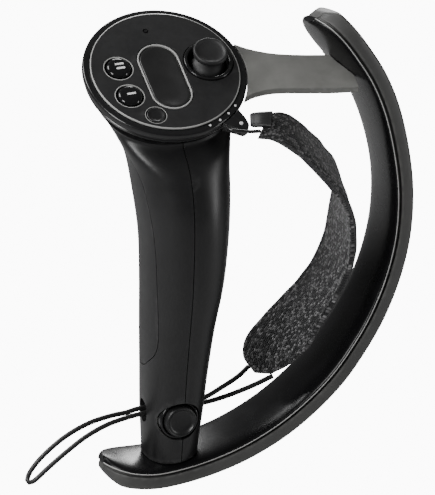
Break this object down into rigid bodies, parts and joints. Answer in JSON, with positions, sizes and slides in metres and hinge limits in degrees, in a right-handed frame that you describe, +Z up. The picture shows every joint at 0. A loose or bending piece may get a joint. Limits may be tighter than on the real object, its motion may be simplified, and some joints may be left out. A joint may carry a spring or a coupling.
{
  "type": "motion controller",
  "caption": "Hand-held motion controller with a round thumb deck, tapering grip, hand strap and a C-shaped tracking ring.",
  "frame": {"origin": "centre of the grip, on the handle's axis, where a closed hand holds it", "axes": "+Z up along the handle to the thumb deck, +X towards the tracking ring, -Y towards the thumb deck's front, trigger on +Y"},
  "size_m": [0.141, 0.0687, 0.1709],
  "materials": {
    "black_shell": "fine matte black plastic",
    "black_satin": "satin black plastic",
    "black_gloss": "polished black plastic",
    "grey_plastic": "satin mid-grey plastic",
    "ring_grey": "matte dark-grey plastic with a fine grain",
    "rubber": "matte black rubber",
    "knit_fabric": "knitted black-grey fabric with lighter flecks",
    "cord_fabric": "braided black cord",
    "steel": "plain sheet and wire steel",
    "circuit": "circuit board",
    "flex_copper": "flexible circuit film",
    "cell_wrap": "shrink-wrapped cell",
    "white_mark": "white light guide"
  },
  "bodies": {
    "root": {"head_housing": "black_shell", "face_plate": "black_shell", "trackpad": "black_satin", "trackpad_trim": "grey_plastic", "trackpad_sensor": "circuit", "status_led": "white_mark", "main_board": "circuit", "stick_well_ring": "black_satin", "stick_base": "steel", "button_a_switch": "steel", "button_b_switch": "steel", "system_button_switch": "steel", "handle_shell_left": "black_satin", "handle_shell_right": "black_satin", "squeeze_panel": "black_shell", "battery": "cell_wrap", "haptic_motor": "steel", "trigger_bracket": "steel", "trigger_pin": "steel", "trigger_spring": "steel", "lock_ring": "black_shell", "lock_body": "grey_plastic", "lock_spring": "steel", "charge_port": "steel", "port_bezel": "black_shell", "bridge_arm": "grey_plastic", "ring_inner_shell": "black_satin", "ring_outer_shell": "ring_grey", "ring_flex": "flex_copper", "ring_sensor_1": "black_gloss", "ring_sensor_2": "black_gloss", "ring_sensor_3": "black_gloss", "ring_sensor_4": "black_gloss", "ring_sensor_5": "black_gloss", "ring_sensor_6": "black_gloss", "hand_strap": "knit_fabric", "tightening_cord": "cord_fabric"},
    "button_a": {"button_a": "black_gloss"},
    "button_b": {"button_b": "black_gloss"},
    "system_button": {"system_button": "black_gloss"},
    "stick_gimbal": {"stick_gimbal": "steel"},
    "stick_rocker": {"stick_rocker": "steel"},
    "thumbstick": {"thumbstick_stem": "rubber", "thumbstick_cap": "rubber"},
    "trigger": {"trigger": "black_satin"},
    "cord_lock": {"cord_lock_button": "black_satin", "lock_plunger": "grey_plastic"},
    "strap_anchor": {"strap_anchor": "black_shell", "strap_tab": "rubber", "anchor_wire": "steel"}
  },
  "joints": [
    {"name": "button_a_press", "type": "slide", "parent": "root", "child": "button_a", "axis": [0, 0.4226, -0.9063], "range_m": [0, 0.001], "stiffness_N_per_m": 900},
    {"name": "button_b_press", "type": "slide", "parent": "root", "child": "button_b", "axis": [0, 0.4226, -0.9063], "range_m": [0, 0.001], "stiffness_N_per_m": 900},
    {"name": "system_button_press", "type": "slide", "parent": "root", "child": "system_button", "axis": [0, 0.4226, -0.9063], "range_m": [0, 0.0008], "stiffness_N_per_m": 900},
    {"name": "stick_tilt_up_down", "type": "hinge", "parent": "root", "child": "stick_gimbal", "pos_m": [0.0165, 0.0098, 0.07693], "axis": [1, 0, 0], "range_deg": [-15, 15], "stiffness_Nm_per_rad": 0.06},
    {"name": "stick_tilt_left_right", "type": "hinge", "parent": "stick_gimbal", "child": "stick_rocker", "pos_m": [0.0165, 0.0098, 0.07693], "axis": [0, 0.9063, 0.4226], "range_deg": [-15, 15], "stiffness_Nm_per_rad": 0.06},
    {"name": "stick_click", "type": "slide", "parent": "stick_rocker", "child": "thumbstick", "axis": [0, 0.4226, -0.9063], "range_m": [0, 0.0005], "stiffness_N_per_m": 2500},
    {"name": "trigger_pull", "type": "hinge", "parent": "root", "child": "trigger", "pos_m": [0, 0.0228, 0.0756], "axis": [-1, 0, 0], "range_deg": [0, 18], "stiffness_Nm_per_rad": 0.25},
    {"name": "cord_lock_press", "type": "slide", "parent": "root", "child": "cord_lock", "axis": [0, 1, 0], "range_m": [0, 0.0018], "stiffness_N_per_m": 1500, "deforming": ["lock_spring"]},
    {"name": "strap_anchor_turn", "type": "hinge", "parent": "root", "child": "strap_anchor", "pos_m": [0, 0.006, 0.082], "axis": [0, -0.4226, 0.9063], "range_deg": [-18.8, 9.4], "deforming": ["hand_strap"]}
  ]
}
